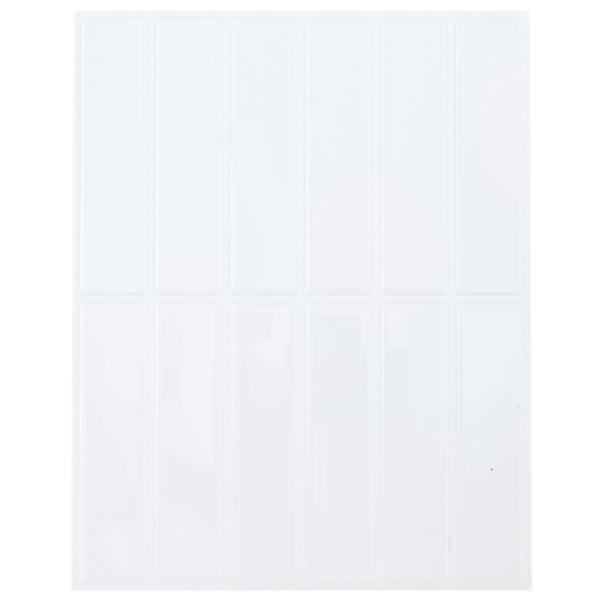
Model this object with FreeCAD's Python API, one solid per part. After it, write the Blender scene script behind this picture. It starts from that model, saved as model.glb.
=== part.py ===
import FreeCAD, Part
import math
import os

# A stick-on wall tile sheet, face up: a release liner, a printed film with its adhesive coat,
# and a grid of resin tiles cast on the film. Bare film shows between the tiles as the joints.
# Millimetres. X runs across the columns, Y along the tiles, Z up out of the face.
# The origin is the middle of the sheet's underside.

# The grid
columns = 6
rows = 2
tile_width = 35.5
tile_length = 146.4
joint_width = 4.0
margin_width = 4.0

# The layers under the tiles
liner_thickness = 0.15
film_thickness = 0.45

# One resin tile: a low upright foot, then a shoulder that rolls over to the flat face.
# A roll rises from the foot at the slope that the resin sets at. A wide dome runs on from the
# roll without a crease, until it is level with the face. The two radii give the tile its height.
foot_height = 0.10
edge_slope = 60.0
roll_radius = 2.30
dome_radius = 26.0
shoulder_width = 4.20
corner_radius = 2.20

# Worked out from the sizes above
pitch_x = tile_width + joint_width
pitch_y = tile_length + joint_width
sheet_width = columns * tile_width + (columns - 1) * joint_width + 2 * margin_width
sheet_length = rows * tile_length + (rows - 1) * joint_width + 2 * margin_width
film_underside = liner_thickness
film_face = film_underside + film_thickness

# The roll turns from the foot's slope to the slope where it meets the dome, and the dome from
# there to level. Both run to the shoulder's width, which gives the slope where they meet.
foot_slope = math.radians(edge_slope)
roll_run = roll_radius * math.sin(foot_slope)
meeting_slope = math.asin((shoulder_width - roll_run) / (dome_radius - roll_radius))
shoulder_start = film_face + foot_height
roll_level = shoulder_start - roll_radius * math.cos(foot_slope)
dome_level = roll_level - (dome_radius - roll_radius) * math.cos(meeting_slope)
tile_face = dome_level + dome_radius

origin = FreeCAD.Vector(0, 0, 0)
upward = FreeCAD.Vector(0, 0, 1)


def flat_layer(thickness, underside):
    """A rectangular layer as large as the sheet, centred on the origin."""
    corner = FreeCAD.Vector(-sheet_width / 2, -sheet_length / 2, underside)
    return Part.makeBox(sheet_width, sheet_length, thickness, corner)


def line(start_x, start_height, end_x, end_height):
    """A straight edge of a section, which is drawn with its height along Y."""
    start = FreeCAD.Vector(start_x, start_height, 0)
    end = FreeCAD.Vector(end_x, end_height, 0)
    return Part.LineSegment(start, end).toShape()


def arc(middle_x, middle_height, radius, start_slope, end_slope):
    """An arc of a section between the places where its surface has two slopes from level."""
    middle = FreeCAD.Vector(middle_x, middle_height, 0)
    circle = Part.Circle(middle, FreeCAD.Vector(0, 0, 1), radius)
    quarter_turn = math.pi / 2
    return Part.ArcOfCircle(circle, quarter_turn - start_slope, quarter_turn - end_slope).toShape()


def edge_section(reach):
    """Upright section through a tile's edge, from X = 0 out to the edge at this reach, on the XZ plane."""
    dome_start = reach - shoulder_width
    inner = min(dome_start, 0) - 1
    outline = Part.Wire([
        line(inner, film_face, reach, film_face),
        line(reach, film_face, reach, shoulder_start),
        arc(reach - roll_run, roll_level, roll_radius, foot_slope, meeting_slope),
        arc(dome_start, dome_level, dome_radius, meeting_slope, 0),
        line(dome_start, tile_face, inner, tile_face),
        line(inner, tile_face, inner, film_face),
    ])
    wanted = Part.makePlane(reach, tile_face)
    section = Part.Face(outline).common(wanted).Faces[0]
    section.rotate(origin, FreeCAD.Vector(1, 0, 0), 90)
    return section


def quarter_of_tile():
    """The quarter of a tile at +X +Y: a side and an end that meet in a mitre, and a turned corner."""
    half_width = tile_width / 2
    half_length = tile_length / 2
    side = edge_section(half_width).extrude(FreeCAD.Vector(0, half_length, 0))
    end_section = edge_section(half_length)
    end_section.rotate(origin, upward, 90)
    end = end_section.extrude(FreeCAD.Vector(half_width, 0, 0))
    corner_middle = FreeCAD.Vector(half_width - corner_radius, half_length - corner_radius, 0)
    square_place = corner_middle + FreeCAD.Vector(0, 0, film_face)
    square = Part.makeBox(corner_radius, corner_radius, tile_face - film_face, square_place)
    corner = edge_section(corner_radius).revolve(origin, upward, 90)
    corner.translate(corner_middle)
    return side.common(end).cut(square).fuse(corner)


def resin_tile():
    """One tile on the film, centred on the Z axis: a quarter and its mirror images."""
    quarter = quarter_of_tile()
    half = quarter.fuse(quarter.mirror(origin, FreeCAD.Vector(1, 0, 0)))
    return half.fuse(half.mirror(origin, FreeCAD.Vector(0, 1, 0))).removeSplitter()


def tile_centre(row, column):
    """The middle of a tile's place. Row 1 is at +Y and column 1 at -X."""
    x = (column - (columns + 1) / 2) * pitch_x
    y = ((rows + 1) / 2 - row) * pitch_y
    return FreeCAD.Vector(x, y, 0)


def save(shape, node):
    """Writes one node's solid and prints its volume."""
    if not shape.isValid():
        raise ValueError(node + " isn't a valid solid")
    shape.exportStep("parts/" + node + ".step")
    print(node, "volume mm3", round(shape.Volume, 2))


os.makedirs("parts", exist_ok=True)
save(flat_layer(liner_thickness, 0), "release_liner")
save(flat_layer(film_thickness, film_underside), "printed_film")
one_tile = resin_tile()
for row in range(1, rows + 1):
    for column in range(1, columns + 1):
        placed = one_tile.copy()
        placed.translate(tile_centre(row, column))
        save(placed, f"resin_tile_r{row}_c{column}")
print("sheet mm", sheet_width, sheet_length, round(tile_face, 3))
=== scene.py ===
# %% [markdown]
# # A stick-on sheet of gloss white wall tiles
# The real sheet is a thin printed vinyl film with a paper liner on its sticky back. Twelve
# rectangles of clear resin are poured on the film, and their surface tension rolls each edge over
# into a soft shoulder. This lesson makes the looks of that sheet: the resin, the bare film that
# shows as the joints, the liner, and the light that a glossy white thing needs to be seen at all.
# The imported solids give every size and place. Nothing here moves them.

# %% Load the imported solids
import math

import bpy
import numpy as np
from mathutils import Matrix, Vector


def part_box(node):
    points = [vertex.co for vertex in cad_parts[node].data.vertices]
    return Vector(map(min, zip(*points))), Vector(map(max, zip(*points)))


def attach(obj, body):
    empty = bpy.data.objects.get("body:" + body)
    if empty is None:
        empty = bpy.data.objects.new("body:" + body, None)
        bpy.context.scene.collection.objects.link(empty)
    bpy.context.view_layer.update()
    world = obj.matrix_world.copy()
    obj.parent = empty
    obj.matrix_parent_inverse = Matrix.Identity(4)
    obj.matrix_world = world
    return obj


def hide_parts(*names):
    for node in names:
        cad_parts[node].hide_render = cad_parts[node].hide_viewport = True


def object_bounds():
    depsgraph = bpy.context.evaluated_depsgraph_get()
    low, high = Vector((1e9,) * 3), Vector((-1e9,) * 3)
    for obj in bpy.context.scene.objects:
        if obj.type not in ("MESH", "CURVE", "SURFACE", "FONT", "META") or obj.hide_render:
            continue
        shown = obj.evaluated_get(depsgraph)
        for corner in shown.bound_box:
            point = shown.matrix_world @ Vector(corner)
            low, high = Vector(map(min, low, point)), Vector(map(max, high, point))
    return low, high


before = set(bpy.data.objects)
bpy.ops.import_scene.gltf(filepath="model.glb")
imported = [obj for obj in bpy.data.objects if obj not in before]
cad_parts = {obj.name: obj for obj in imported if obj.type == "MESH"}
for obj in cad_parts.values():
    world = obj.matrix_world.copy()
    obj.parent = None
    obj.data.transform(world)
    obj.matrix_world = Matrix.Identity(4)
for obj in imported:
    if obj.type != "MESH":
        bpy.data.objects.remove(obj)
solid_low, solid_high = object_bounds()
print("solids reach from", tuple(solid_low), "to", tuple(solid_high))

# %% [markdown]
# ## Sizes
# Lengths are metres, as in the solids, so a size in millimetres is multiplied by MM. The tiles'
# outlines and levels are read from the solids. Only the section of the edge is written here
# again, because a box can't tell it: a short upright foot, a roll that starts at sixty degrees,
# then a wide dome.

# %% Sizes
MM = 0.001
rows = 2
columns = 6
first_low, first_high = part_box("resin_tile_r1_c1")
tile_width = first_high.x - first_low.x
tile_length = first_high.y - first_low.y
film_level = first_low.z
face_level = first_high.z
joint_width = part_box("resin_tile_r1_c2")[0].x - first_high.x

foot_height = 0.10 * MM
edge_slope = math.radians(60)
roll_radius = 2.30 * MM
dome_radius = 26.0 * MM
shoulder_width = 4.20 * MM
corner_radius = 2.20 * MM
print("one tile is", round(tile_width / MM, 1), "by", round(tile_length / MM, 1), "mm")

# %% [markdown]
# ## Helpers for materials
# Colours are written as sRGB hex values, as a paint chart gives them, and Cycles wants linear
# light. One small function adds a node, sets what it is given and wires its inputs, so that a
# material reads as a list of its nodes.

# %% Material helpers
def linear(hex_colour):
    """A hex sRGB colour as linear RGBA."""
    shares = [int(hex_colour[start:start + 2], 16) / 255 for start in (1, 3, 5)]
    lit = [s / 12.92 if s <= 0.04045 else ((s + 0.055) / 1.055) ** 2.4 for s in shares]
    return (*lit, 1.0)


def add(tree, kind, settings=None, **inputs):
    """Adds a node to a tree. Settings are its own properties. Inputs are values or other sockets, each
    by its socket's name, or by an underscore and its number where several sockets share a name."""
    node = tree.nodes.new(kind)
    for name, value in (settings or {}).items():
        setattr(node, name, value)
    for name, value in inputs.items():
        socket = node.inputs[int(name[1:])] if name[1:].isdigit() else node.inputs[name.replace("_", " ")]
        if isinstance(value, bpy.types.NodeSocket):
            tree.links.new(value, socket)
        else:
            socket.default_value = value
    return node


def new_material(name):
    """An empty node material and its tree, with only the output left in it."""
    material = bpy.data.materials.new(name)
    material.use_nodes = True
    tree = material.node_tree
    tree.nodes.clear()
    return material, tree, tree.nodes.new("ShaderNodeOutputMaterial")


def tell(material):
    """Prints a finished material's name and how many nodes it has."""
    print("mixed", material.name, "from", len(material.node_tree.nodes), "nodes")


print("the paint #F1F5F8 is", [round(part, 3) for part in linear("#F1F5F8")[:3]], "in linear light")

# %% [markdown]
# ## The print's white and a painted shade
# Under the resin and in the joints lies one printed white, and its tone isn't even. It is cool in
# the upper half and lilac in the lower, with a border that wanders between them and a few clouds
# of either tone. A painted shade, for the way the light falls off across the sheet, deepens it
# towards one corner. A picture of the print would do it, but a sum of plain gradients and one noise
# has no edges and costs nothing. The clouds and the border are placed in millimetres on the sheet.

# %% The print's white
cloud_core = 0.25
cool_white = 1.0
lilac_white = 0.0
print_clouds = [
    ((36 * MM, 24 * MM), (50 * MM, 56 * MM), 1.0, lilac_white),
    ((114 * MM, 85 * MM), (32 * MM, 54 * MM), 0.85, lilac_white),
    ((-58 * MM, 7 * MM), (26 * MM, 24 * MM), 0.9, lilac_white),
    ((16 * MM, -39 * MM), (24 * MM, 16 * MM), 0.8, lilac_white),
    ((94 * MM, -78 * MM), (27 * MM, 21 * MM), 0.9, cool_white),
]
step_left = -12 * MM
step_right = 16 * MM
step_depth = 64 * MM
wander_size = 30 * MM
wander_height = 40 * MM
border_start = 4 * MM
border_end = 28 * MM
shade_reach = 165 * MM
shade_power = 2.5


def cloud(tree, place, middle, reach):
    """One in the core of an ellipse, zero past its reach, and smooth between."""
    moved = add(tree, "ShaderNodeVectorMath", {"operation": "SUBTRACT"},
                _0=place, _1=(*middle, 0.0)).outputs[0]
    scaled = add(tree, "ShaderNodeVectorMath", {"operation": "DIVIDE"},
                 _0=moved, _1=(*reach, 1.0)).outputs[0]
    away = add(tree, "ShaderNodeVectorMath", {"operation": "LENGTH"}, _0=scaled).outputs["Value"]
    return add(tree, "ShaderNodeMapRange", {"interpolation_type": "SMOOTHSTEP"}, Value=away,
               From_Min=cloud_core, From_Max=1.0, To_Min=1.0, To_Max=0.0).outputs[0]


def print_white_and_painted_shade(tree, place, cool, lilac, painted_shade, shade_way):
    """The white of the print, with a painted shade. It is cool above the border and lilac below it. The
    border lies lower in the right half, and a noise moves it. Each cloud draws its place towards one of
    the two whites. The painted shade stands for the light's fall-off towards one corner, and is
    multiplied in by a power of the way along a direction across the sheet."""
    parts = add(tree, "ShaderNodeSeparateXYZ", Vector=place).outputs
    lower = add(tree, "ShaderNodeMapRange", {"interpolation_type": "SMOOTHSTEP"}, Value=parts["X"],
                From_Min=step_left, From_Max=step_right, To_Min=0.0, To_Max=step_depth).outputs[0]
    noise = add(tree, "ShaderNodeTexNoise", Vector=place, Scale=1 / wander_size, Detail=2.0).outputs["Fac"]
    level = add(tree, "ShaderNodeMath", {"operation": "ADD"}, _0=parts["Y"], _1=lower).outputs[0]
    wander = add(tree, "ShaderNodeMath", {"operation": "MULTIPLY_ADD"},
                 _0=noise, _1=wander_height, _2=level).outputs[0]
    above = add(tree, "ShaderNodeMapRange", {"interpolation_type": "SMOOTHSTEP"}, Value=wander,
                From_Min=border_start, From_Max=border_end, To_Min=0.0, To_Max=1.0).outputs[0]
    for middle, reach, share, target in print_clouds:
        spot = cloud(tree, place, middle, reach)
        part = add(tree, "ShaderNodeMath", {"operation": "MULTIPLY"}, _0=spot, _1=share).outputs[0]
        above = add(tree, "ShaderNodeMix", {"data_type": "FLOAT"}, _0=part, _2=above, _3=target).outputs[0]
    tone = add(tree, "ShaderNodeMix", {"data_type": "RGBA"}, _0=above,
               _6=linear(lilac), _7=linear(cool)).outputs[2]
    # Painted shade: darker towards one corner, for the light's fall-off across the sheet.
    across = add(tree, "ShaderNodeVectorMath", {"operation": "DOT_PRODUCT"},
                 _0=place, _1=(*shade_way, 0.0)).outputs["Value"]
    share = add(tree, "ShaderNodeMapRange", Value=across, From_Min=-shade_reach, From_Max=shade_reach,
                To_Min=0.0, To_Max=1.0).outputs[0]
    grey = add(tree, "ShaderNodeMath", {"operation": "POWER"}, _0=share, _1=shade_power).outputs[0]
    return add(tree, "ShaderNodeMix", {"data_type": "RGBA", "blend_type": "MULTIPLY"}, _0=grey,
               _6=tone, _7=linear(painted_shade)).outputs[2]


print("the print's white has", len(print_clouds), "clouds")

# %% [markdown]
# ## The resin
# The tiles are clear polyurethane resin over the print, poured and left to level itself. The eye
# sees a soft white from below and one sharp reflection on top. A Principled shader is just that
# pair: a white diffuse base under a dielectric with an index of 1.53 and a low roughness. Poured
# resin is never quite flat, so a very shallow bump a few millimetres across bends the reflections.

# %% Poured resin
skin_size = 5 * MM
skin_depth = 0.0007 * MM


def poured_resin():
    """Clear polyurethane over a white print. It gives the eye a clean white with a sharp, faint gloss."""
    material, tree, output = new_material("poured_resin_white")
    place = add(tree, "ShaderNodeTexCoord").outputs["Object"]
    # The corner shade in this white is painted shade, for the light's fall-off across the sheet.
    tone = print_white_and_painted_shade(tree, place, cool="#F1F5F8", lilac="#F4F3F8", painted_shade="#F8F8F7", shade_way=(1.0, -0.35))
    ripple = add(tree, "ShaderNodeTexNoise", Vector=place, Scale=1 / skin_size, Detail=1.0)
    level = add(tree, "ShaderNodeBump", Height=ripple.outputs["Fac"], Distance=skin_depth, Strength=1.0)
    skin = add(tree, "ShaderNodeBsdfPrincipled", Base_Color=tone, Roughness=0.012, IOR=1.53,
               Normal=level.outputs[0])
    tree.links.new(skin.outputs[0], output.inputs["Surface"])
    return material


resin = poured_resin()
tell(resin)

# %% [markdown]
# ## The film
# The joints are the bare face of the film: white vinyl, calendered and printed with a matt ink
# that is made to look like grout. Its grain is finer than a tenth of a millimetre, too fine for
# the render, so it is drawn at half a millimetre.
#
# Four marks lie on it, and three of them are painted light or shade. The margins are a trace
# duller than the joints. A paler line along each tile's right foot is painted light, for the light
# that the resin's edge gathers onto the film there. Along each left foot a line is painted shade
# high on the sheet and painted light low on it. And painted light makes the rim along the cut
# whiter than the print. Each mark is a share from zero to one that tints the tone.

# %% Patterns on the film
corner_start = 6 * MM
corner_end = 1 * MM


def offset_from(tree, value, middle, pitch):
    """How far a coordinate lies from the nearest of a row of places, one pitch apart."""
    moved = add(tree, "ShaderNodeMath", {"operation": "SUBTRACT"}, _0=value, _1=middle).outputs[0]
    return add(tree, "ShaderNodeMath", {"operation": "WRAP"},
               _0=moved, _1=pitch / 2, _2=-pitch / 2).outputs[0]


def fall(tree, value, middle, start, end):
    """One at a middle and up to the start distance from it, zero from the end distance on."""
    away = add(tree, "ShaderNodeMath", {"operation": "SUBTRACT"}, _0=value, _1=middle).outputs[0]
    away = add(tree, "ShaderNodeMath", {"operation": "ABSOLUTE"}, _0=away).outputs[0]
    return add(tree, "ShaderNodeMapRange", {"interpolation_type": "SMOOTHSTEP"}, Value=away,
               From_Min=start, From_Max=end, To_Min=1.0, To_Max=0.0).outputs[0]


def foot_line(tree, place, foot, aside, start, end):
    """One on a line along one foot of every tile, zero beside it and at the tile's corners. The line
    lies aside from the foot's place and fades between two distances from its middle."""
    parts = add(tree, "ShaderNodeSeparateXYZ", Vector=place).outputs
    x = offset_from(tree, parts["X"], foot, tile_width + joint_width)
    y = offset_from(tree, parts["Y"], (first_low.y + first_high.y) / 2, tile_length + joint_width)
    across = fall(tree, x, aside, start, end)
    along = fall(tree, y, 0.0, tile_length / 2 - corner_start, tile_length / 2 - corner_end)
    return add(tree, "ShaderNodeMath", {"operation": "MULTIPLY"}, _0=across, _1=along).outputs[0]


def share_along(tree, place, start, end):
    """Zero up to one place along the sheet's length, one from another on, and even between them."""
    y = add(tree, "ShaderNodeSeparateXYZ", Vector=place).outputs["Y"]
    return add(tree, "ShaderNodeMapRange", Value=y, From_Min=start, From_Max=end,
               To_Min=0.0, To_Max=1.0).outputs[0]


def tinted(tree, tone, share, strength, colour):
    """A tone that goes towards a colour by a share times a strength."""
    part = add(tree, "ShaderNodeMath", {"operation": "MULTIPLY"}, _0=share, _1=strength).outputs[0]
    return add(tree, "ShaderNodeMix", {"data_type": "RGBA"}, _0=part,
               _6=tone, _7=linear(colour)).outputs[2]


print("the lines repeat every", round((tile_width + joint_width) / MM, 1), "mm across the sheet")

# %% Printed vinyl
# The white that the painted light goes towards: beside the right feet, along the left feet low down, and at
# the rim.
painted_light_white = "#FFFFFF"
margin_width = 9 * MM
rim_start = 0.2 * MM
rim_end = 1.3 * MM
grain_size = 0.5 * MM
grain_depth = 0.01 * MM


def printed_vinyl():
    """Calendered white vinyl with matt ink. It gives the eye a flat white with a broad, dull sheen."""
    material, tree, output = new_material("printed_vinyl_white")
    place = add(tree, "ShaderNodeTexCoord").outputs["Object"]
    # The corner shade in this white is painted shade, for the light's fall-off across the sheet.
    tone = print_white_and_painted_shade(tree, place, cool="#F2F6F9", lilac="#F6F5FA", painted_shade="#F4F4F3", shade_way=(0.43, -0.75))
    inward = add(tree, "ShaderNodeAttribute", {"attribute_name": "inward"}).outputs["Fac"]
    # The tone is a trace duller towards the cut, across the margin.
    near_cut = add(tree, "ShaderNodeMath", {"operation": "SUBTRACT"}, _0=1.0, _1=inward).outputs[0]
    tone = add(tree, "ShaderNodeMix", {"data_type": "RGBA", "blend_type": "MULTIPLY"}, _0=near_cut,
               _6=tone, _7=linear("#FDFCFC")).outputs[2]
    # Painted light: a paler line on the film beside each tile's right foot, where the resin's edge gathers
    # light.
    painted_caustic = foot_line(tree, place, first_high.x, 0.70 * MM, 0.10 * MM, 0.40 * MM)
    tone = tinted(tree, tone, painted_caustic, 0.35, painted_light_white)
    # Painted shade along each tile's left foot high on the sheet, and painted light along it low on the
    # sheet.
    painted_foot_line = foot_line(tree, place, first_low.x, -0.45 * MM, 0.30 * MM, 0.75 * MM)
    high = share_along(tree, place, -10 * MM, 60 * MM)
    low = share_along(tree, place, -30 * MM, -130 * MM)
    dark = add(tree, "ShaderNodeMath", {"operation": "MULTIPLY"}, _0=painted_foot_line, _1=high).outputs[0]
    light = add(tree, "ShaderNodeMath", {"operation": "MULTIPLY"}, _0=painted_foot_line, _1=low).outputs[0]
    tone = tinted(tree, tone, dark, 0.30, "#E8EAEC")
    tone = tinted(tree, tone, light, 0.25, painted_light_white)
    # Painted light: the rim along the cut is whiter than the print.
    painted_rim_light = add(tree, "ShaderNodeMapRange", {"interpolation_type": "SMOOTHSTEP"}, Value=inward,
              From_Min=rim_start / margin_width, From_Max=rim_end / margin_width,
              To_Min=1.0, To_Max=0.0).outputs[0]
    tone = tinted(tree, tone, painted_rim_light, 0.35, painted_light_white)
    grain = add(tree, "ShaderNodeTexNoise", Vector=place, Scale=1 / grain_size, Detail=2.0)
    tooth = add(tree, "ShaderNodeBump", Height=grain.outputs["Fac"], Distance=grain_depth, Strength=0.6)
    skin = add(tree, "ShaderNodeBsdfPrincipled", Base_Color=tone, Roughness=0.55, IOR=1.52,
               Specular_IOR_Level=0.3, Normal=tooth.outputs[0])
    tree.links.new(skin.outputs[0], output.inputs["Surface"])
    return material


vinyl = printed_vinyl()
tell(vinyl)

# %% [markdown]
# ## The liner
# The back is covered by a siliconed kraft paper that is peeled off before the sheet is stuck
# up. Paper is pulp laid down in water, so it is cloudy at a centimetre and fibrous at a
# millimetre, and the fibres lie mostly along the roll. Two noises make it, one of them drawn out
# along the sheet by a Mapping node.

# %% Siliconed paper
cloud_size = 9 * MM
fibre_size = 0.7 * MM
fibre_stretch = 0.18
fibre_depth = 0.03 * MM


def siliconed_paper():
    """Bleached kraft with a silicone coat. It gives the eye a warm off-white, cloudy and finely streaked."""
    material, tree, output = new_material("siliconed_paper")
    place = add(tree, "ShaderNodeTexCoord").outputs["Object"]
    clouds = add(tree, "ShaderNodeTexNoise", Vector=place, Scale=1 / cloud_size, Detail=4.0)
    along = add(tree, "ShaderNodeMapping", Vector=place, Scale=(1.0, fibre_stretch, 1.0)).outputs[0]
    fibres = add(tree, "ShaderNodeTexNoise", Vector=along, Scale=1 / fibre_size, Detail=3.0)
    both = add(tree, "ShaderNodeMix", {"data_type": "FLOAT"}, _0=0.45,
               _2=clouds.outputs["Fac"], _3=fibres.outputs["Fac"]).outputs[0]
    spread = add(tree, "ShaderNodeMapRange", Value=both, From_Min=0.3, From_Max=0.7,
                 To_Min=0.0, To_Max=1.0).outputs[0]
    tone = add(tree, "ShaderNodeMix", {"data_type": "RGBA"}, _0=spread,
               _6=linear("#DEDACD"), _7=linear("#EBE8DE")).outputs[2]
    tooth = add(tree, "ShaderNodeBump", Height=fibres.outputs["Fac"], Distance=fibre_depth, Strength=0.5)
    skin = add(tree, "ShaderNodeBsdfPrincipled", Base_Color=tone, Roughness=0.55, IOR=1.47,
               Normal=tooth.outputs[0])
    tree.links.new(skin.outputs[0], output.inputs["Surface"])
    return material


paper = siliconed_paper()
tell(paper)

# %% [markdown]
# The liner itself is a flat sheet of paper with a cut edge, and its solid already is just that.
# So it stays, and only gets the paper's material.

# %% Dress the liner
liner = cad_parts["release_liner"]
liner.data.materials.clear()
liner.data.materials.append(paper)
print("the liner wears", liner.data.materials[0].name)

# %% [markdown]
# ## The section of a tile's edge
# Two circles touch: a smaller one at the foot, and a wide one that runs out level with the face.
# The shoulder's width fixes the slope that they share where they meet, as it does in the solids.
# The section is a list of pairs, the inset from the outline and the height, and each pair will
# become a ring round the tile.

# %% Edge section
def edge_section(roll_steps, dome_steps):
    """Insets and heights up the edge: foot, then roll, then dome. A point of an arc lies from its
    centre by the radius, back by the sine and up by the cosine of the slope there. The slope where
    the arcs meet has the sine of the run that is left over the difference of the radii."""
    roll_run = roll_radius * math.sin(edge_slope)
    meeting = math.asin((shoulder_width - roll_run) / (dome_radius - roll_radius))
    roll = np.linspace(edge_slope, meeting, roll_steps + 1)
    dome = np.linspace(meeting, 0, dome_steps + 1)[1:]
    roll_level = film_level + foot_height - roll_radius * math.cos(edge_slope)
    dome_level = roll_level - (dome_radius - roll_radius) * math.cos(meeting)
    roll_inset = roll_run - roll_radius * np.sin(roll)
    dome_inset = shoulder_width - dome_radius * np.sin(dome)
    roll_height = roll_level + roll_radius * np.cos(roll)
    dome_height = dome_level + dome_radius * np.cos(dome)
    inset = np.concatenate([[0.0], roll_inset, dome_inset])
    height = np.concatenate([[film_level], roll_height, dome_height])
    return inset, height


ring_inset, ring_height = edge_section(roll_steps=9, dome_steps=5)
rings = len(ring_inset)
edge_gap = round((face_level - ring_height[-1]) / MM, 4)
print("the edge has", rings, "rings and ends", edge_gap, "mm below the solid's face")

# %% [markdown]
# ## A tile as one grid
# A box with a bevel would do for a sharp tile, but here the reflections must run smoothly over
# the face, the shoulder and the corner. So the tile is one square grid of points. The outer
# lines of the grid are the rings of the section, bent round the corners, and the inner lines are
# the flat face. The corner of every ring is the grid's own diagonal, so there is no pole.
#
# The face isn't flat. Resin pulls itself into a low crown, the sheet lies a little uneven under
# it, and it sets with long ripples. All three only ever sink the surface, so the tile stays
# within its solid. They are hundredths of a millimetre, yet a gloss surface shows them at once.

# %% The grid of one tile
face_cell = 1.25 * MM
inner_corner = 3.00 * MM
inner_width = tile_width - 2 * shoulder_width
inner_length = tile_length - 2 * shoulder_width
cells_x = 2 * rings + 2 * round(inner_width / face_cell / 2)
cells_y = 2 * rings + 2 * round(inner_length / face_cell / 2)


def tile_grid():
    """Places of a grid of points over one tile centred on the origin. A point's ring is how many
    lines it lies from the grid's border. In a corner it goes round the ring's arc, by an angle in
    proportion to its way from the diagonal, and past the corner it goes straight in equal steps."""
    step_x, step_y = np.meshgrid(np.arange(cells_x + 1), np.arange(cells_y + 1), indexing="ij")
    from_side = np.minimum(step_x, cells_x - step_x)
    from_end = np.minimum(step_y, cells_y - step_y)
    nearest = np.minimum(from_side, from_end)
    ring = np.minimum(nearest, rings - 1)
    inset = ring_inset[ring]
    radius = corner_radius + (inner_corner - corner_radius) * inset / shoulder_width
    way = (np.minimum(np.maximum(from_side, from_end), rings) - nearest) / np.maximum(rings - nearest, 1)
    eighth = math.pi / 4
    turn = np.where(from_end <= from_side, eighth + eighth * way, eighth - eighth * way)
    arc = np.where(nearest < rings, radius, 0.0)
    straight_x = (cells_x / 2 - np.maximum(from_side, rings)) / (cells_x / 2 - rings)
    straight_y = (cells_y / 2 - np.maximum(from_end, rings)) / (cells_y / 2 - rings)
    x = (tile_width / 2 - inset - radius) * straight_x + arc * np.cos(turn)
    y = (tile_length / 2 - inset - radius) * straight_y + arc * np.sin(turn)
    x = np.where(step_x < cells_x / 2, -x, x)
    y = np.where(step_y < cells_y / 2, -y, y)
    return x, y, ring_height[ring]


print("each tile is a grid of", cells_x, "by", cells_y, "cells")

# %% How the face sinks
crown_height = 0.03 * MM
lean_height = 0.03 * MM
ripple_count = 5
ripple_length = (18 * MM, 70 * MM)
ripple_slope = 0.0009


def sink_of_face(x, y, random):
    """How far the resin lies below its highest level. Crown: a parabola across and a steeper curve
    near the ends. Lean: a plane. Ripples: waves with random directions and wavelengths."""
    across = x / (tile_width / 2)
    along = y / (tile_length / 2)
    crown = crown_height * (1 - (1 - across ** 2) * (1 - along ** 6))
    lean = lean_height * (random.uniform(-1, 1) * across + random.uniform(-1, 1) * along)
    ripples = np.zeros_like(x)
    for _ in range(ripple_count):
        length = random.uniform(*ripple_length)
        heading = random.uniform(0, math.pi)
        phase = random.uniform(0, 2 * math.pi)
        distance = x * math.cos(heading) + y * math.sin(heading)
        ripples += ripple_slope * length / (2 * math.pi) * np.sin(2 * math.pi * distance / length + phase)
    sink = crown + lean + ripples
    return sink - sink.min()


print("the face sinks by its crown of", crown_height / MM, "mm, a lean and", ripple_count, "ripples")

# %% Turn a grid into a closed mesh
crease_angle = math.radians(25)


def numbered(count_x, count_y):
    """The numbers of a grid's points, counted row by row."""
    return np.arange((count_x + 1) * (count_y + 1)).reshape(count_x + 1, count_y + 1)


def grid_faces(count_x, count_y):
    """Corners of the cells of a grid, turned upwards."""
    number = numbered(count_x, count_y)
    corners = [number[:-1, :-1], number[1:, :-1], number[1:, 1:], number[:-1, 1:]]
    return np.stack(corners, axis=-1).reshape(-1, 4).tolist()


def border_of_grid(count_x, count_y):
    """Numbers of the border points, in order, so that the face they make looks down."""
    number = numbered(count_x, count_y)
    return np.concatenate([number[0, :-1], number[:-1, -1], number[-1, :0:-1], number[:0:-1, 0]]).tolist()


def mesh_piece(name, points, faces, material):
    """A smooth-shaded object from points and faces, with its origin at the sheet's."""
    mesh = bpy.data.meshes.new(name)
    mesh.from_pydata(points.tolist(), [], faces)
    mesh.shade_smooth()
    mesh.set_sharp_from_angle(angle=crease_angle)
    mesh.materials.append(material)
    mesh.update()
    piece = bpy.data.objects.new(name, mesh)
    bpy.context.scene.collection.objects.link(piece)
    return piece


def slab(name, x, y, z, material):
    """A closed piece whose top is a grid of points and whose flat underside is one face."""
    count_x = x.shape[0] - 1
    count_y = x.shape[1] - 1
    points = np.stack([x, y, z], axis=-1).reshape(-1, 3)
    cells = grid_faces(count_x, count_y)
    piece = mesh_piece(name, points, cells + [border_of_grid(count_x, count_y)], material)
    piece.data.polygons[len(cells)].use_smooth = False
    return piece, points


print("an edge sharper than", round(math.degrees(crease_angle)), "degrees shows as a crease")

# %% [markdown]
# ## Pour the twelve tiles
# Each tile is the same grid, moved to its place, with a sink of its own from a seeded generator,
# so that no two tiles reflect alike and every run gives the same sheet. The sink fades to nothing
# down the edge, because the foot stands on the film. Clear resin lets light through to the film
# beside it, so a tile throws no shadow of its own.

# %% Pour the twelve tiles
face_points = []
for row in range(1, rows + 1):
    for column in range(1, columns + 1):
        node = f"resin_tile_r{row}_c{column}"
        low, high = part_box(node)
        x, y, z = tile_grid()
        random = np.random.default_rng(100 * row + column)
        share = (z - film_level) / (face_level - film_level)
        z = z - share * sink_of_face(x, y, random)
        centre_x = (low.x + high.x) / 2
        centre_y = (low.y + high.y) / 2
        tile, points = slab(f"poured_tile_r{row}_c{column}", x + centre_x, y + centre_y, z, resin)
        face_points.append(points)
        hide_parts(node)
        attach(tile, "root")
        tile.visible_shadow = False
    print("poured row", row, "of", columns, "tiles")

# %% [markdown]
# ## The film as a soft-cut slab
# The film's solid has sharp edges. A real one is cut from the roll by a knife that presses its
# upper edge down, so the cut catches a thin grey line all round. The slab is a grid like a
# tile's, with lines close together at the border. An attribute tells the material how far inward
# a point lies, because the margins are a trace duller than the joints and the rim gets painted light.

# %% The film
cut_radius = 0.30 * MM
cut_steps = 5


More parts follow.
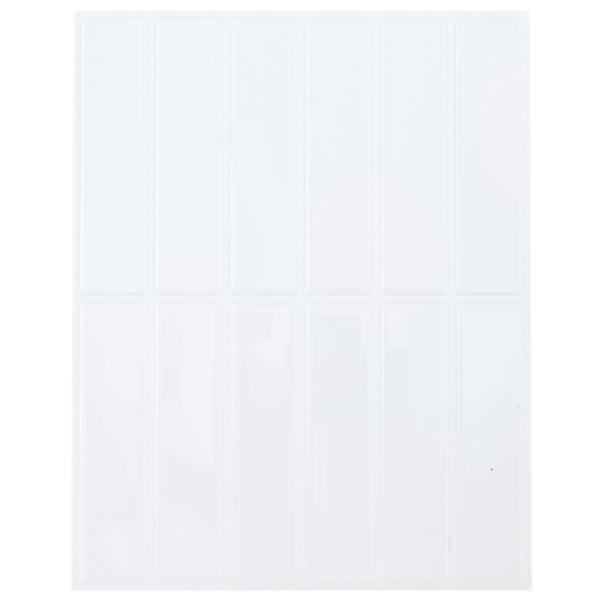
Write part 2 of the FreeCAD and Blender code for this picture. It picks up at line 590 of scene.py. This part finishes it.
def film_grid(low, high):
    """Points of a slab's top. The lines lie at the insets of a quarter circle and then inward, and a
    point's height comes from the nearer of its two insets."""
    turn = np.linspace(0, math.pi / 2, cut_steps + 1)
    cut_inset = cut_radius * (1 - np.cos(turn))
    cut_height = high.z - cut_radius * (1 - np.sin(turn))
    inset = np.concatenate([[0.0], cut_inset, [margin_width / 3, margin_width]])
    height = np.concatenate([[low.z], cut_height, [high.z, high.z]])
    x = np.concatenate([low.x + inset, high.x - inset[::-1]])
    y = np.concatenate([low.y + inset, high.y - inset[::-1]])
    line_x = np.minimum(np.arange(len(x)), np.arange(len(x))[::-1])
    line_y = np.minimum(np.arange(len(y)), np.arange(len(y))[::-1])
    line = np.minimum(*np.meshgrid(line_x, line_y, indexing="ij"))
    place_x, place_y = np.meshgrid(x, y, indexing="ij")
    return place_x, place_y, height[line], np.clip(inset[line] / margin_width, 0, 1)


film_low, film_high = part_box("printed_film")
x, y, z, inward = film_grid(film_low, film_high)
film, points = slab("cut_film", x, y, z, vinyl)
film.data.attributes.new("inward", "FLOAT", "POINT").data.foreach_set("value", inward.ravel())
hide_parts("printed_film")
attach(film, "root")
print("the film has", len(points), "points")

# %% [markdown]
# ## Dust and lint
# The sheet isn't quite clean. Two dark grains and a curl of lint lie on it, and they are what
# shows that the face is a real, open surface. A grain is a ball with a lumpy radius, pressed
# flat. The lint is a thin tube along a smooth curve that follows the resin down into a joint.
# Both need to know how high the surface is under them, which the tiles' own points tell.

# %% Where the surface is
surface_points = np.concatenate(face_points)


def surface_height(x, y):
    """Height of the nearest point of any tile, or of the film where no tile is under the place."""
    away = np.hypot(surface_points[:, 0, None] - x, surface_points[:, 1, None] - y)
    nearest = np.argmin(away, axis=0)
    on_tile = away[nearest, np.arange(len(x))] < face_cell
    return np.where(on_tile, surface_points[nearest, 2], film_high.z)


print("the surface is known at", len(surface_points), "places")

# %% Dust material
fold_size = 0.15 * MM


def grey_fluff(name, dark, pale):
    """House dust. It gives the eye a dull grey, darker in its folds."""
    material, tree, output = new_material(name)
    place = add(tree, "ShaderNodeTexCoord").outputs["Object"]
    folds = add(tree, "ShaderNodeTexNoise", Vector=place, Scale=1 / fold_size, Detail=2.0).outputs["Fac"]
    tone = add(tree, "ShaderNodeMix", {"data_type": "RGBA"}, _0=folds,
               _6=linear(dark), _7=linear(pale)).outputs[2]
    skin = add(tree, "ShaderNodeBsdfPrincipled", Base_Color=tone, Roughness=0.95)
    tree.links.new(skin.outputs[0], output.inputs["Surface"])
    return material


soot = grey_fluff("dark_dust", "#161618", "#2E2E30")
fluff = grey_fluff("pale_lint", "#8C8C90", "#BCBCC0")
tell(soot)
tell(fluff)

# %% Grains
flake_height = 0.02 * MM
flake_turns = 12
flake_levels = 5
lump_share = 0.3
lump_count = 3


def grain(name, x, y, radius, material):
    """A ball whose radius swells and shrinks by a share in a few lumps round it, flattened to a flake."""
    turns = np.linspace(0, 2 * math.pi, flake_turns + 1)[:-1]
    rises = np.linspace(-math.pi / 2, math.pi / 2, flake_levels + 2)[1:-1]
    turn, rise = np.meshgrid(turns, rises, indexing="ij")
    lumpy = radius * (1 + lump_share * np.sin(lump_count * turn + 1) * np.cos(rise))
    level = min(surface_height(np.array([x]), np.array([y]))[0], face_level - flake_height)
    ball = np.stack([x + lumpy * np.cos(rise) * np.cos(turn), y + lumpy * np.cos(rise) * np.sin(turn),
                     level + flake_height * np.sin(rise)], axis=-1).reshape(-1, 3)
    points = np.concatenate([ball, [[x, y, level - flake_height], [x, y, level + flake_height]]])
    number = np.arange(len(ball)).reshape(flake_turns, flake_levels)
    after = np.roll(number, -1, axis=0)
    sides = np.stack([number[:, :-1], after[:, :-1], after[:, 1:], number[:, 1:]], axis=-1).reshape(-1, 4)
    foot = np.stack([after[:, 0], number[:, 0], np.full(flake_turns, len(ball))], axis=-1)
    top = np.stack([number[:, -1], after[:, -1], np.full(flake_turns, len(ball) + 1)], axis=-1)
    piece = mesh_piece(name, points, sides.tolist() + foot.tolist() + top.tolist(), material)
    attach(piece, "root")
    print("laid", name, "about", round(2 * radius / MM, 2), "mm across")


grain("dust_grain_1", 99.22 * MM, -89.17 * MM, 0.64 * MM, soot)
grain("dust_grain_2", 113.55 * MM, -56.30 * MM, 0.33 * MM, soot)

# %% Lint
lint_steps = 8
lint_sides = 6


def smooth_way(way):
    """Points along a curve through the given places. Between two of them it is the cubic that has
    each place's own speed, and that speed is half the step from the place before to the one after."""
    steps = np.linspace(0, len(way) - 1, lint_steps * (len(way) - 1) + 1)
    before = np.minimum(np.floor(steps), len(way) - 2).astype(int)
    share = steps - before
    speed = np.gradient(way, axis=0)
    soft = (share ** 2 * (3 - 2 * share))[:, None]
    lead = (share * (1 - share) ** 2)[:, None]
    trail = (share ** 2 * (1 - share))[:, None]
    between = way[before] * (1 - soft) + way[before + 1] * soft
    return between + speed[before] * lead - speed[before + 1] * trail


def across(first, second):
    """The unit vectors that stand across two directions."""
    cross = np.cross(first, second)
    return cross / np.linalg.norm(cross, axis=1, keepdims=True)


def lint(name, places, radius, material):
    """A tube round a smooth way, half sunk in the surface, whose rings stand across it."""
    line = smooth_way(np.array(places) * MM)
    height = np.minimum(surface_height(line[:, 0], line[:, 1]), face_level - radius)
    middle = np.column_stack([line, height])
    ahead = np.gradient(middle, axis=0)
    ahead = ahead / np.linalg.norm(ahead, axis=1, keepdims=True)
    side = across(ahead, (0, 0, 1))
    up = np.cross(side, ahead)
    turn = np.arange(lint_sides) * 2 * math.pi / lint_sides
    ring = side[:, None] * np.cos(turn)[None, :, None] + up[:, None] * np.sin(turn)[None, :, None]
    points = (middle[:, None] + radius * ring).reshape(-1, 3)
    number = np.arange(len(points)).reshape(-1, lint_sides)
    after = np.roll(number, -1, axis=1)
    sides = np.stack([number[:-1], after[:-1], after[1:], number[1:]], axis=-1).reshape(-1, 4)
    ends = [number[0, ::-1].tolist(), number[-1].tolist()]
    piece = mesh_piece(name, points, sides.tolist() + ends, material)
    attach(piece, "root")
    length = np.linalg.norm(np.diff(middle, axis=0), axis=1).sum()
    print("laid", name, round(length / MM, 1), "mm long")


lint("lint_curl_1", [(65.4, -121.4), (67.2, -121.4), (69.0, -121.95), (70.7, -122.5), (72.1, -123.9)],
     0.034 * MM, fluff)
lint("lint_curl_2", [(73.2, -125.7), (76.1, -125.7), (77.0, -126.3), (77.7, -127.7), (77.6, -129.8),
                     (77.3, -132.0)], 0.040 * MM, fluff)

# %% [markdown]
# ## The floor
# A white thing on white shows only by its reflections and by the shade at its edges. The floor is
# a pale paint that the camera, gloss and glass see as pure white, and it keeps a part of any
# shadow. It is left open under the sheet, because the sheet's underside lies in the same plane,
# and two faces in one plane flicker when they are seen from below.

# %% White floor
floor_glow = 1.05
floor_share_of_glow = 0.75


def seen_directly(tree):
    """One for rays from the camera, from gloss and through glass, zero for the light that fills a room."""
    ray = add(tree, "ShaderNodeLightPath").outputs
    seen = add(tree, "ShaderNodeMath", {"operation": "MAXIMUM"},
               _0=ray["Is Camera Ray"], _1=ray["Is Glossy Ray"]).outputs[0]
    return add(tree, "ShaderNodeMath", {"operation": "MAXIMUM"},
               _0=seen, _1=ray["Is Transmission Ray"]).outputs[0]


def white_floor():
    """A pale floor that looks pure white, yet keeps a quarter of any shadow that falls on it."""
    material, tree, output = new_material("studio_floor")
    seen = seen_directly(tree)
    glow = add(tree, "ShaderNodeEmission", Color=(1, 1, 1, 1), Strength=floor_glow).outputs[0]
    paint = add(tree, "ShaderNodeBsdfDiffuse", Color=linear("#F2F2F2")).outputs[0]
    shown = add(tree, "ShaderNodeMixShader", _0=floor_share_of_glow, _1=paint, _2=glow).outputs[0]
    mixed = add(tree, "ShaderNodeMixShader", _0=seen, _1=paint, _2=shown).outputs[0]
    tree.links.new(mixed, output.inputs["Surface"])
    return material


def plane(name, corners, material, faces=None):
    """A flat stage piece from its corner points. It is one face through all of them, or the faces given."""
    mesh = bpy.data.meshes.new(name)
    mesh.from_pydata(corners, [], faces or [list(range(len(corners)))])
    mesh.materials.append(material)
    piece = bpy.data.objects.new(name, mesh)
    bpy.context.scene.collection.objects.link(piece)
    return piece


def rectangle(low_x, low_y, high_x, high_y, z):
    """The corners of a level rectangle, turned upwards."""
    return [(low_x, low_y, z), (high_x, low_y, z), (high_x, high_y, z), (low_x, high_y, z)]


floor_reach = 4.0
seat = 1.5 * MM
outer = rectangle(-floor_reach, -floor_reach, floor_reach, floor_reach, solid_low.z)
opening = rectangle(solid_low.x + seat, solid_low.y + seat,
                    solid_high.x - seat, solid_high.y - seat, solid_low.z)
round_opening = [(side, (side + 1) % 4, (side + 1) % 4 + 4, side + 4) for side in range(4)]
floor = plane("studio_floor", outer + opening, white_floor(), round_opening)
print("the floor is", 2 * floor_reach, "m across and open under the sheet")

# %% [markdown]
# ## The room's light
# The light is a soft room: a world that gives an even light a little under white from all sides,
# and one broad lamp to the right and behind, which shades the left feet of the tiles. A window
# lamp would light it too, but then its mirror image would burn out the gloss, so the lamp isn't
# seen in reflections, and what the gloss shows is built by itself below.

# %% World
room_light = 0.975


def soft_room(strength):
    """The world: white to the camera and in gloss and glass, and a grey room as light."""
    world = bpy.data.worlds.new("soft_room")
    world.use_nodes = True
    tree = world.node_tree
    tree.nodes.clear()
    output = tree.nodes.new("ShaderNodeOutputWorld")
    seen = seen_directly(tree)
    white = add(tree, "ShaderNodeBackground", Color=(1, 1, 1, 1), Strength=1.0).outputs[0]
    room = add(tree, "ShaderNodeBackground", Color=(1, 1, 1, 1), Strength=strength).outputs[0]
    mixed = add(tree, "ShaderNodeMixShader", _0=seen, _1=room, _2=white).outputs[0]
    tree.links.new(mixed, output.inputs["Surface"])
    return world


bpy.context.scene.world = soft_room(room_light)
print("the room lights the sheet at", room_light)

# %% Lamp
def aim(thing, place, target, up=(0, 1, 0)):
    """Stands a lamp or a camera at a place, with its back axis away from the target."""
    back = np.subtract(place, target)
    back = back / np.linalg.norm(back)
    side = np.cross(up, back)
    side = side / np.linalg.norm(side)
    top = np.cross(back, side)
    matrix = np.eye(4)
    matrix[:3] = np.column_stack([side, top, back, place])
    thing.matrix_world = matrix.T.tolist()
    bpy.context.view_layer.update()


lamp_data = bpy.data.lights.new("lamp", "AREA")
lamp_data.shape = "DISK"
lamp_data.size = 0.60
lamp_data.energy = 2.2
lamp = bpy.data.objects.new("lamp", lamp_data)
bpy.context.scene.collection.objects.link(lamp)
lamp.visible_glossy = False
aim(lamp, place=(1.60, 0.60, 1.70), target=(0, 0, 0), up=(0, 0, 1))
print("the lamp is a disk", lamp_data.size, "m across at", round(lamp_data.energy, 2), "W")

# %% [markdown]
# ## The camera
# The sheet is seen from nearly straight above. A lean of two degrees towards the viewer gives the
# lower tiles their slightly larger look, and a lens a metre away keeps the sides upright.

# %% Camera
sensor_width = 36.0
camera_distance = 1.0
lean_angle = math.radians(2.07)
frame_side = 315.08 * MM
aim_x = -0.90 * MM
aim_y = -0.55 * MM
lens = (aim_x, aim_y - camera_distance * math.sin(lean_angle), camera_distance * math.cos(lean_angle))
camera_data = bpy.data.cameras.new("camera")
camera_data.sensor_width = sensor_width
camera_data.lens = sensor_width * camera_distance / frame_side
camera_data.clip_end = 20.0
camera = bpy.data.objects.new("camera", camera_data)
bpy.context.scene.collection.objects.link(camera)
bpy.context.scene.camera = camera
aim(camera, place=lens, target=(aim_x, aim_y, face_level))
print("the frame takes in", round(frame_side / MM, 1), "mm of the sheet's plane")

# %% [markdown]
# ## What the gloss sees
# A gloss surface looks like what it mirrors, so the room gets cards that only reflections see: a
# bright window to the left, a dim wall behind and one in front. They stand upright round the
# sheet. Seen from above, only the steep shoulders mirror them: the left ones the window, the ones
# at a tile's ends the two walls, and the right ones the bare white room. That draws a light or a
# dark line along each side of every tile.

# %% Window and walls
def glow_of(name, level):
    """An even glow of one level, for a card that only reflections see."""
    material, tree, output = new_material(name)
    glow = add(tree, "ShaderNodeEmission", Color=(1, 1, 1, 1), Strength=level)
    tree.links.new(glow.outputs[0], output.inputs["Surface"])
    return material


def card(name, corners, level):
    """A card that stands in the room for reflections alone."""
    piece = plane(name, corners, glow_of(name, level))
    piece.visible_camera = False
    piece.visible_diffuse = False
    piece.visible_shadow = False
    piece.visible_transmission = False
    return piece


def wall(name, start, end, low, high, level):
    """An upright card over a line of the floor plan, between two heights."""
    return card(name, [(*start, low), (*end, low), (*end, high), (*start, high)], level)


window_x = -1.4
window_foot = 0.10
window_top = 2.4
room_end = 1.5
for name, near, far, level in [("window_far", 0.24, 1.3, 2.25), ("window_card", 0.02, 0.24, 2.75),
                               ("window_side", -0.12, 0.02, 2.2), ("window_frame", -0.22, -0.12, 1.6)]:
    wall(name, (window_x, near), (window_x, far), window_foot, window_top, level)
card("window_head", rectangle(window_x, 0.0, -1.0, 1.3, window_top), 1.6)
wall("back_low", (window_x, room_end), (-window_x, room_end), 0.0, 1.6, 0.35)
wall("front_low", (window_x, -room_end), (-window_x, -room_end), 0.0, 1.2, 0.30)
print("the window reaches from", window_foot, "to", window_top, "m above the floor")

# %% [markdown]
# ## Flags over the sheet
# The flat faces mirror what hangs above the sheet. There the gloss shows pale and dark shapes
# with clear borders, as black and grey cards would give in a studio, and the borders jump from
# tile to tile because each face lies a little differently. So each flag is made for the tiles
# that mirror it. Its outline is given as the border of its reflection, in millimetres from the
# middle of the sheet, and is carried up to the flag's height along the mirrored line of sight.
# Where two flags overlap, the lower one is seen, so a patch hangs a millimetre or two below.

# %% The flags' place
flag_height = 0.40
flag_front = -0.60
second_layer = 1 * MM
third_layer = 2 * MM


def on_flag(x, y):
    """Where the line of sight to a place on the sheet meets the flags' height after the mirror. It has
    gone on sideways as it came, in proportion to the flags' height over the lens's distance."""
    grow = flag_height / camera_distance
    return x * MM + grow * (x * MM - lens[0]), y * MM + grow * (y * MM - lens[1]), flag_height


def flag(name, outline, ends, level, drop=0.0):
    """A card of one level whose reflection has this outline, hung a drop below the flags' height."""
    points = [on_flag(x, y) for x, y in outline] + ends
    return card(name, [(x, y, z - drop) for x, y, z in points], level)


def to_front(left, right):
    """The near corners of a flag that runs on towards the room's front."""
    return [(right, flag_front, flag_height), (left, flag_front, flag_height)]


print("the flags hang", flag_height, "m above the sheet")

# %% Flags over the lower tiles
flags_left = -0.20
flags_right = 0.30
core_step = 0.002
last_column = 0.111
flag("front_flag", [
    (-126.7, -12.4), (-114.1, -12.4), (-106.7, -20.8), (-102.5, -28.1), (-100.4, -45.4), (-92.0, -51.2),
    (-81.5, -54.4), (-78.9, -54.4), (-78.9, -10.3), (-74.2, -10.3), (-67.9, -7.1), (-64.7, -16.6),
    (-63.7, -53.3), (-57.4, -68.0), (-50.0, -81.7), (-45.8, -86.9), (-39.5, -86.9), (-39.5, -5.5),
    (-13.2, -5.5), (-14.3, -19.2), (-20.6, -20.2), (-23.7, -27.1), (-15.9, -31.8), (-9.6, -36.0),
    (-5.9, -36.0), (-0.1, -36.0), (-0.1, -5.5), (30.9, -5.5), (33.0, -9.2), (34.5, -24.4),
    (57.1, -24.4), (59.8, -37.6), (57.7, -53.3), (70.8, -53.3), (79.2, -55.4)
], to_front(flags_left, last_column), 0.5)
flag("front_flag_c6", [
    (79.2, -55.4), (88.6, -54.4), (96.0, -50.2), (104.4, -46.0), (120.1, -40.7), (141.1, -36.5)
], to_front(last_column, flags_right), 0.65)
flag("front_core", [
    (-126.7, -49.1), (-112.0, -50.2), (-106.7, -55.4), (-102.5, -68.0), (-94.1, -77.5), (-89.9, -84.8),
    (-87.8, -95.3), (-85.7, -97.4), (-79.4, -97.4), (-79.4, -33.4), (-71.5, -33.4), (-66.8, -37.6),
    (-64.2, -52.3), (-71.0, -54.4), (-79.4, -55.4), (-79.4, -77.5), (-70.0, -79.6), (-53.2, -86.9),
    (-39.5, -90.1), (-39.5, -28.1), (-30.6, -28.1), (-26.9, -50.7), (-17.4, -59.6), (-5.9, -49.1),
    (1.5, -49.1)
], to_front(flags_left, core_step), 0.0, second_layer)
flag("front_core_c4_c5", [
    (1.5, -49.1), (1.5, -29.2), (15.1, -29.2), (16.7, -6.1), (30.3, -6.1), (32.4, -10.3), (34.5, -27.1),
    (40.3, -27.1), (43.5, -25.5), (56.6, -25.5), (58.7, -37.6), (56.1, -53.3), (59.2, -69.1),
    (70.8, -73.3), (76.0, -79.6), (79.2, -85.9)
], to_front(core_step, last_column), 0.14, second_layer)
flag("front_core_c6", [
    (79.2, -85.9), (83.4, -94.3), (90.7, -96.4), (99.1, -89.0), (107.5, -80.6), (112.8, -77.5),
    (125.4, -80.6), (141.1, -79.6)
], to_front(last_column, flags_right), 0.08, second_layer)
print("five flags run on to", -flag_front, "m in front of the sheet's middle")

# %% Patches over the lower tiles
flag("dark_patch_c3", [
    (-39.5, -5.5), (-12.7, -5.5), (-14.3, -22.3), (-20.6, -19.7), (-26.9, -22.9), (-29.0, -28.1),
    (-39.5, -28.1)
], [], 0.25, third_layer)
flag("grey_patch_c3", [
    (-29.0, -28.1), (-23.7, -29.2), (-15.9, -33.9), (-9.6, -37.0), (-0.6, -37.0), (-0.6, -49.1),
    (-5.9, -49.1), (-17.4, -59.6), (-26.9, -50.7)
], [], 0.34, third_layer)
flag("dark_patch_c4", [
    (-0.1, -6.6), (30.9, -6.6), (32.4, -24.4), (15.1, -24.4), (15.1, -29.2), (-0.1, -29.2)
], [], 0.18, third_layer)
flag("grey_patch_c5", [
    (57.1, 0.2), (79.2, 0.2), (79.2, -55.4), (70.8, -53.3), (57.7, -53.3), (59.8, -37.6), (57.1, -24.4),
    (51.9, -16.6)
], [], 0.68, third_layer)
flag("pale_patch_c4", [
    (2.0, -67.0), (10.4, -65.9), (12.5, -74.3), (12.5, -90.1), (12.5, -108.5), (2.0, -108.5)
], [], 0.62, third_layer)
flag("pale_patch_c2", [
    (-78.4, -105.8), (-58.4, -109.0), (-50.0, -119.5), (-44.7, -118.4), (-43.7, -147.8), (-78.4, -147.8)
], [], 0.42, third_layer)
flag("pale_patch_c1", [
    (-103.6, -121.6), (-92.0, -118.4), (-84.7, -129.5), (-83.6, -143.6), (-94.1, -142.6),
    (-100.4, -133.1)
], [], 0.42, third_layer)
print("seven patches hang", third_layer / MM, "mm lower")

# %% Patches over the upper tiles
flag("back_patch_c1", [
    (-137.2, 235.5), (-89.9, 235.5), (-92.0, 143.1), (-99.4, 135.7), (-100.4, 122.1), (-106.2, 113.7),
    (-107.2, 105.3), (-110.9, 93.7), (-112.0, 78.0), (-113.0, 62.2), (-115.1, 49.1), (-137.2, 43.8)
], [], 0.62)
flag("back_patch_c3", [
    (-40.0, 235.5), (-0.6, 235.5), (-0.6, 53.8), (-6.9, 54.3), (-13.8, 62.2), (-18.5, 72.7),
    (-20.6, 83.2), (-22.7, 89.5), (-27.9, 92.7), (-34.2, 94.8), (-40.0, 94.8)
], [], 0.64)
flag("back_patch_c3_low", [
    (-40.0, 59.6), (-34.2, 55.9), (-29.0, 49.1), (-22.7, 43.8), (-20.6, 33.3), (-19.5, 19.1),
    (-20.6, 4.4), (-40.0, 4.4)
], [], 0.64)
flag("back_patch_c4", [(-0.6, 235.5), (39.8, 235.5), (39.8, 0.8), (-0.6, 0.8)], [], 0.74)
flag("back_patch_c5", [(39.8, 235.5), (79.2, 235.5), (79.2, 0.8), (39.8, 0.8)], [], 0.84)
flag("back_patch_c6", [
    (79.2, 235.5), (135.9, 235.5), (135.9, 135.7), (104.4, 133.6), (97.0, 125.2), (93.9, 109.5),
    (94.9, 78.0), (100.2, 64.8), (114.9, 53.8), (135.9, 51.7), (135.9, 0.8), (79.2, 0.8)
], [], 0.66)
print("six patches hang over the upper row")

# %% [markdown]
# ## Far cards
# Between the flags, the sloping ends of the middle tiles look on up to the white room, and would
# flash white there. Two dark cards half a metre above the lens close those gaps for the slopes. A
# notch in the front one leaves the flat faces the pale shape that they show between the flags.

# %% Far cards
far_height = 1.5
far_front = [(-0.10, -0.19), (0.085, -0.19), (0.085, 0.0), (-0.008, 0.0), (-0.008, -0.04), (-0.10, -0.04)]
card("far_front_flag", [(x, y, far_height) for x, y in far_front], 0.1)
card("far_back_flag", rectangle(-0.10, 0.285, 0.09, 0.48, far_height), 0.5)
print("two far cards hang", far_height, "m up")

# %% [markdown]
# ## Finish
# The picture's colours go through the Standard view transform.

# %% Finish
bpy.context.scene.view_settings.view_transform = "Standard"
